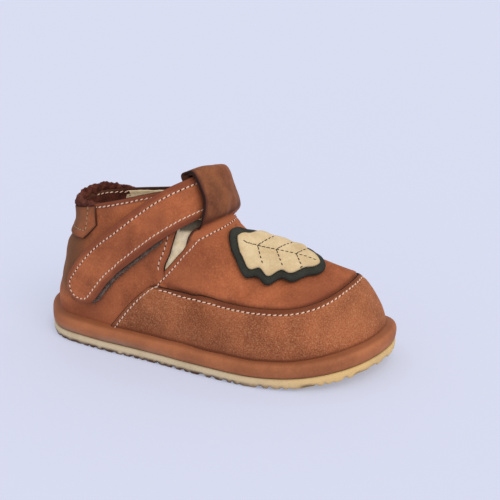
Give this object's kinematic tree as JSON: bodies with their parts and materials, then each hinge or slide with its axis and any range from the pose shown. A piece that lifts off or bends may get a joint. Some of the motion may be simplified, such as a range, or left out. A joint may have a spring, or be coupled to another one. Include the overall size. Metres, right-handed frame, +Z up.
{
  "type": "barefoot shoe",
  "caption": "Child's right barefoot shoe: hollow leather T-bar upper with side cut-outs and a hook-and-loop strap through a front loop, on a wrapped platform and a thin flexible rubber sole.",
  "frame": {"origin": "on the floor under the middle of the shoe's box", "axes": "+X from heel to toe, -Y to the outer side of a right foot, +Z up"},
  "size_m": [0.1542, 0.0659, 0.0819],
  "materials": {
    "cream_rubber": "matt moulded rubber",
    "tan_leather_band": "waxed leather wrap, scuffed",
    "cream_leather": "soft undyed leather",
    "tan_nubuck": "matt nubuck",
    "brown_leather": "soft brown leather",
    "grey_hook_and_loop": "fuzzy hook-and-loop tape",
    "dark_lining": "soft padded lining leather",
    "black_leather": "matt black leather"
  },
  "bodies": {
    "root": {"outsole": "cream_rubber", "platform": "tan_leather_band", "insole": "cream_leather", "upper": "tan_nubuck", "strap": "tan_nubuck", "strap_loop": "brown_leather", "fastening_pad": "grey_hook_and_loop", "heel_tab": "tan_nubuck", "collar_roll": "dark_lining", "leaf_base": "black_leather", "leaf_top": "cream_leather"}
  },
  "joints": []
}
